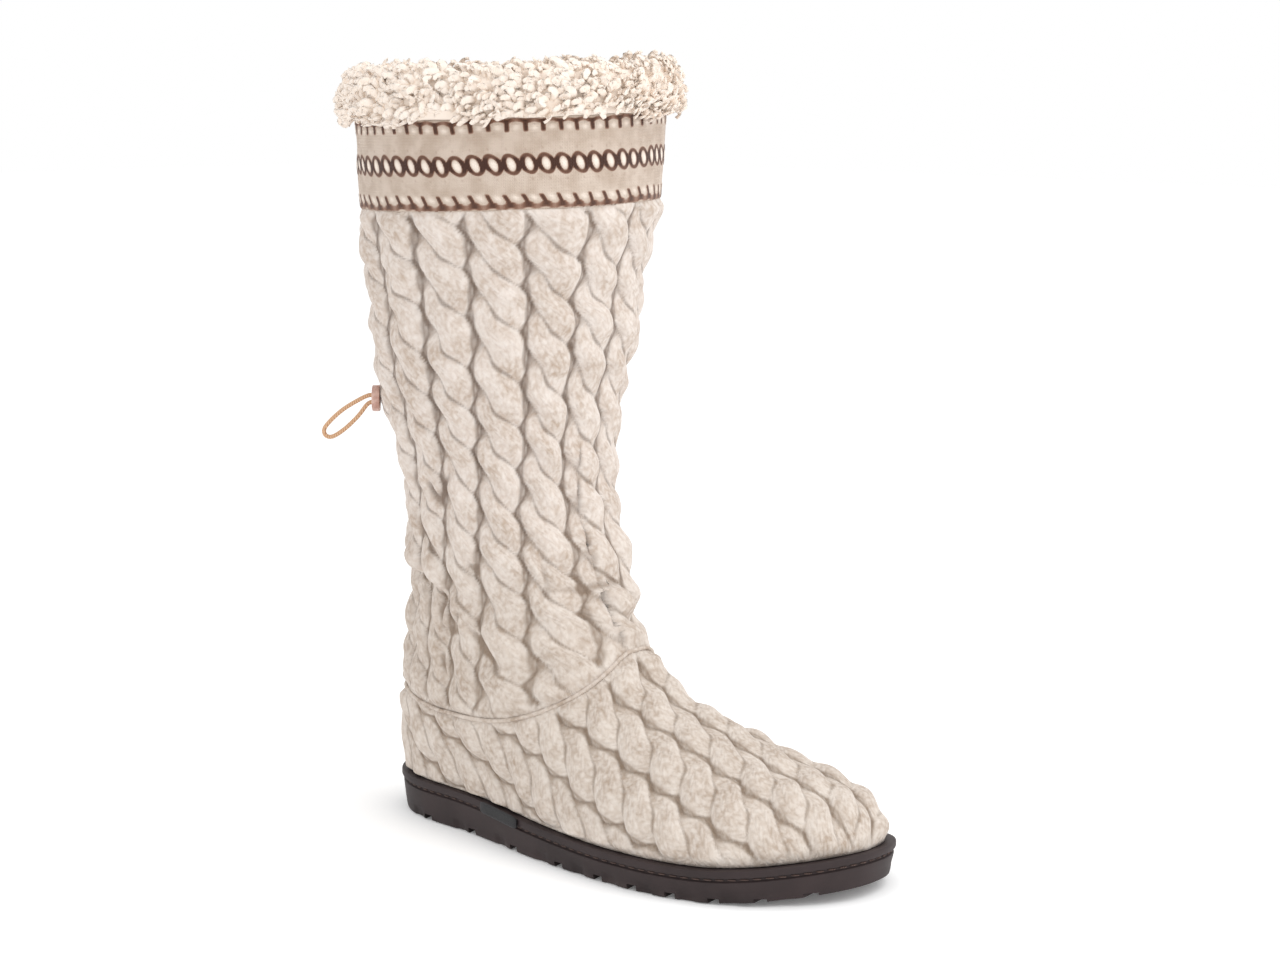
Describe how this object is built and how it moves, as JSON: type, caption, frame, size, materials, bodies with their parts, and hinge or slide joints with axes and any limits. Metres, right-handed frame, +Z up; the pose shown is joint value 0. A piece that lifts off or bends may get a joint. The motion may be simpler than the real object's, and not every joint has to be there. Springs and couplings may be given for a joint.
{
  "type": "mukluk boot",
  "caption": "Tall cable-knit slipper boot for the right foot, with a fleece collar, a patterned knit band and a low lugged rubber sole.",
  "frame": {"origin": "on the floor under the heel, 36 mm ahead of the heel's back edge, on the sole's middle line", "axes": "+X from heel to toe, +Y to the inner (medial) side of the right foot, +Z up the shaft"},
  "size_m": [0.2852, 0.1549, 0.352],
  "materials": {
    "sole_rubber": "matt dark brown rubber",
    "footbed": "short fleece",
    "cable_knit": "heather oatmeal cable knit",
    "band_knit": "plain knit with brown motif rows",
    "fleece": "curly cream fleece",
    "label": "plain black woven tape",
    "elastic": "tan round elastic",
    "button_shell": "glossy pinkish shell"
  },
  "bodies": {
    "root": {"outsole": "sole_rubber", "insole": "footbed", "foot_upper": "cable_knit", "shaft": "cable_knit", "patterned_band": "band_knit", "fleece_collar": "fleece", "side_label": "label", "pull_loop": "elastic", "button": "button_shell"}
  },
  "joints": []
}
